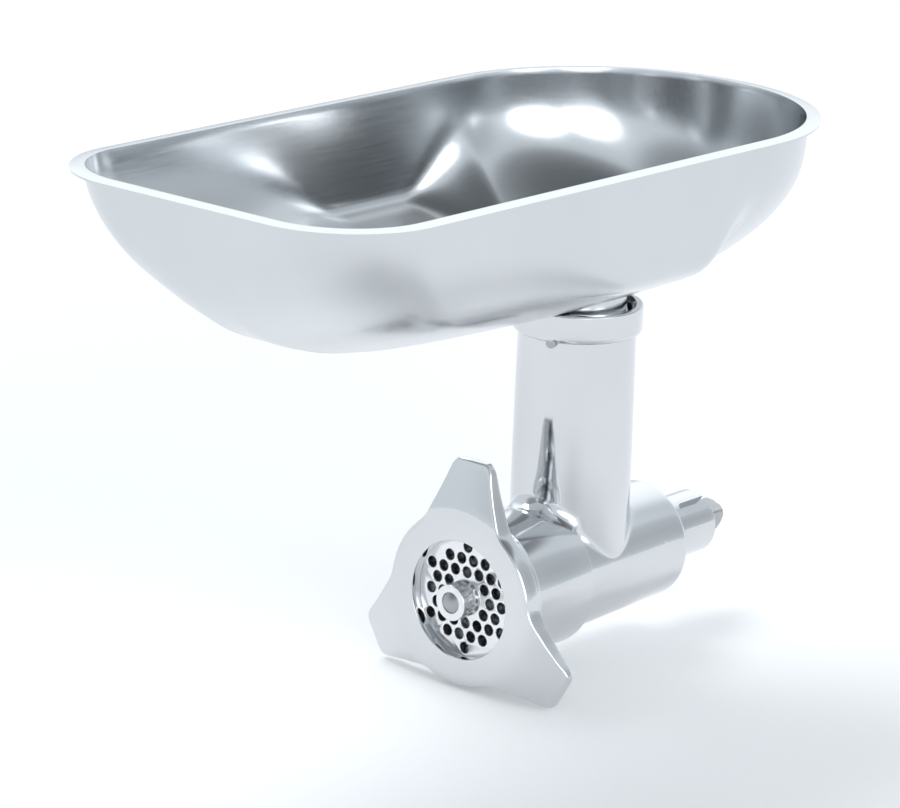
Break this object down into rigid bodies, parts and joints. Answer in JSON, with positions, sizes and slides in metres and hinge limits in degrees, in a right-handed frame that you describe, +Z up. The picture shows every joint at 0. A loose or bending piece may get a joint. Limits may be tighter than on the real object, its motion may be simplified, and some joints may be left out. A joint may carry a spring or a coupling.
{
  "type": "meat grinder head",
  "caption": "Hub-driven grinding head: deep feed pan, feed tube on a barrel, winged lock ring over a drilled plate, worm with knife, and a rear shank with a drive tang.",
  "frame": {"origin": "centre of the shank's root, on the barrel's axis", "axes": "+Y out of the rear shank along the barrel's axis, +Z up the feed tube towards the pan, +X to the right for someone who faces the lock ring"},
  "size_m": [0.224, 0.4441, 0.3035],
  "materials": {
    "casting": "polished stainless casting",
    "sheet": "satin stainless sheet",
    "plate": "ground stainless",
    "worm": "cast stainless",
    "hard_steel": "hardened steel, satin",
    "bushing": "natural nylon",
    "seal": "black rubber"
  },
  "bodies": {
    "housing": {"body_casting": "casting", "plate_key": "hard_steel", "rear_bushing": "bushing", "shaft_seal": "seal", "collar_pin": "hard_steel"},
    "worm_set": {"worm": "worm", "thrust_washer": "bushing", "worm_stud": "hard_steel", "drive_tang": "hard_steel", "tang_pin": "hard_steel", "knife": "hard_steel"},
    "plate": {"grinding_plate": "plate"},
    "ring": {"lock_ring": "casting"},
    "tray": {"tray_pan": "sheet", "tray_spout": "sheet", "tray_collar": "casting"}
  },
  "joints": [
    {"name": "worm_turn", "type": "hinge", "parent": "housing", "child": "worm_set", "pos_m": [0, 0, 0], "axis": [0, 1, 0], "continuous": true},
    {"name": "plate_slide", "type": "slide", "parent": "housing", "child": "plate", "axis": [0, -1, 0], "range_m": [0, 0.0082]},
    {"name": "ring_turn", "type": "hinge", "parent": "plate", "child": "ring", "pos_m": [0, 0, 0], "axis": [0, -1, 0], "range_deg": [0, 720]},
    {"name": "tray_lift", "type": "slide", "parent": "housing", "child": "tray", "axis": [0, 0, 1], "range_m": [0, 0.03]}
  ],
  "couplings": [
    {"joint": "plate_slide", "follows": "ring_turn", "m_per_rad": 0.00063662}
  ]
}
